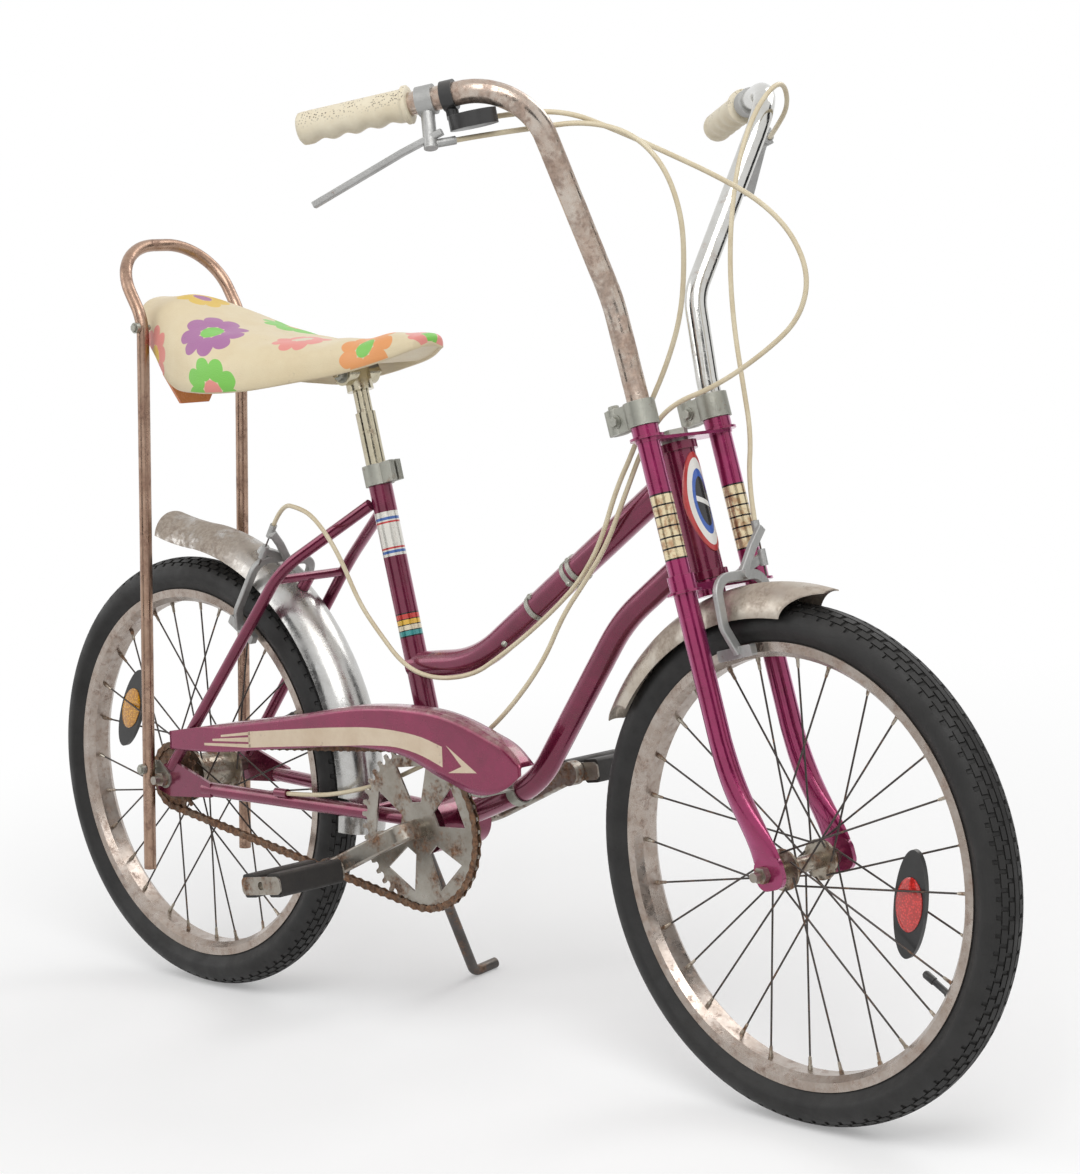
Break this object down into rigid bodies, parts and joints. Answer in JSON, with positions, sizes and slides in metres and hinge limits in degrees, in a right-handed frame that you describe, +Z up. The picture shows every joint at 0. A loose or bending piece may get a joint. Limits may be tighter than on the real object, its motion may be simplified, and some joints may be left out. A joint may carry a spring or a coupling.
{
  "type": "child's high-rise bicycle",
  "caption": "Child's high-rise bicycle with tall split handlebars, a padded banana saddle, a passenger hoop, a chain guard, fenders and a side stand, leaning as it parks.",
  "frame": {"origin": "bottom centre of the bounding box of the parked bicycle, on the floor", "axes": "+X to the front of the bicycle, +Y to the rider's left, +Z up; the bicycle leans 6 degrees to its left on the side stand"},
  "size_m": [1.388, 0.608, 1.0096],
  "materials": {
    "frame_paint": "gloss, candy",
    "fork_paint": "gloss, candy",
    "guard_paint": "gloss",
    "bar_chrome_rusted": "pitted and rusted",
    "bar_chrome": "polished",
    "hoop_chrome": "rusted",
    "rim_chrome": "patina",
    "post_chrome": "worn",
    "dull_zinc": "dull",
    "dark_steel": "dull",
    "drive_steel": "tarnished",
    "chain_steel": "rusty",
    "fender_steel": "tarnished",
    "cast_grey": "cast",
    "hub_steel": "tarnished",
    "spoke_steel": "dull",
    "tyre_rubber": "matt",
    "pedal_rubber": "matt",
    "grip_vinyl": "matt",
    "saddle_vinyl": "satin vinyl",
    "pan_steel": "grey",
    "panel_plastic": "gloss",
    "red_plastic": "gloss",
    "black_plastic": "gloss",
    "badge_enamel": "enamel",
    "cable_cream": "satin"
  },
  "bodies": {
    "frame": {"head_tube": "frame_paint", "top_tube": "frame_paint", "down_tube": "frame_paint", "saddle_tube": "frame_paint", "bottom_bracket": "frame_paint", "chain_stays": "frame_paint", "back_stays": "frame_paint", "stay_bridges": "frame_paint", "stand_bracket": "frame_paint", "rear_axle": "dull_zinc", "saddle_post": "post_chrome", "post_collar": "dull_zinc", "saddle_clamp": "dull_zinc", "saddle_pan": "pan_steel", "saddle": "saddle_vinyl", "saddle_panel": "panel_plastic", "passenger_bar": "hoop_chrome", "passenger_bar_fixings": "dull_zinc", "rear_fender": "fender_steel", "rear_brake": "cast_grey", "chain_guard": "guard_paint", "guard_strap": "dull_zinc", "chain": "chain_steel", "badge": "badge_enamel", "cable_rear_brake": "cable_cream", "cable_shift": "cable_cream"},
    "crank": {"chainring": "drive_steel", "crank_arms": "drive_steel"},
    "pedal_right": {"pedal_right_core": "dark_steel", "pedal_right_blocks": "pedal_rubber"},
    "pedal_left": {"pedal_left_core": "dark_steel", "pedal_left_blocks": "pedal_rubber"},
    "sprocket": {"rear_sprocket": "drive_steel"},
    "stand": {"kickstand": "dark_steel"},
    "rear_wheel": {"rear_tyre": "tyre_rubber", "rear_rim": "rim_chrome", "rear_hub": "hub_steel", "rear_spokes": "spoke_steel", "rear_reflector": "panel_plastic"},
    "front_wheel": {"front_tyre": "tyre_rubber", "front_rim": "rim_chrome", "front_hub": "hub_steel", "front_spokes": "spoke_steel", "front_reflector": "red_plastic"},
    "fork": {"steerer": "dull_zinc", "fork_plates": "fork_paint", "fork_leg_right": "fork_paint", "fork_leg_left": "fork_paint", "front_axle": "dull_zinc", "front_fender": "fender_steel", "front_brake": "cast_grey", "handlebar_clamps": "dull_zinc", "handlebar_right": "bar_chrome_rusted", "handlebar_left": "bar_chrome", "grip_right": "grip_vinyl", "grip_left": "grip_vinyl", "brake_lever_right": "cast_grey", "brake_lever_left": "cast_grey", "shifter": "black_plastic", "cable_front_brake": "cable_cream"}
  },
  "joints": [
    {"name": "steering", "type": "hinge", "parent": "frame", "child": "fork", "pos_m": [0.31857, -0.03676, 0.57571], "axis": [-0.2748, 0.1005, 0.9562], "range_deg": [-46, 50], "deforming": ["cable_rear_brake", "cable_shift"]},
    {"name": "front_wheel_spin", "type": "hinge", "parent": "fork", "child": "front_wheel", "pos_m": [0.44396, -0.07211, 0.24944], "axis": [0.0336, 0.9949, -0.0949], "continuous": true},
    {"name": "rear_wheel_spin", "type": "hinge", "parent": "frame", "child": "rear_wheel", "pos_m": [-0.44402, -0.07106, 0.24934], "axis": [0, 0.9945, -0.1045], "continuous": true},
    {"name": "crank_spin", "type": "hinge", "parent": "frame", "child": "crank", "pos_m": [-0.03602, -0.07252, 0.23541], "axis": [0, 0.9945, -0.1045], "continuous": true},
    {"name": "pedal_right_spin", "type": "hinge", "parent": "crank", "child": "pedal_right", "pos_m": [-0.13938, -0.15835, 0.19374], "axis": [0, 0.9945, -0.1045], "continuous": true},
    {"name": "pedal_left_spin", "type": "hinge", "parent": "crank", "child": "pedal_left", "pos_m": [0.06734, 0.01331, 0.27708], "axis": [0, 0.9945, -0.1045], "continuous": true},
    {"name": "sprocket_spin", "type": "hinge", "parent": "frame", "child": "sprocket", "pos_m": [-0.44402, -0.07106, 0.24934], "axis": [0, 0.9945, -0.1045], "continuous": true},
    {"name": "stand_swing", "type": "hinge", "parent": "frame", "child": "stand", "pos_m": [-0.11002, -0.0498, 0.20286], "axis": [0.2927, 0.8731, 0.39], "range_deg": [0, 68.8]}
  ],
  "couplings": [
    {"joint": "sprocket_spin", "follows": "crank_spin", "ratio": 2.3333}
  ]
}
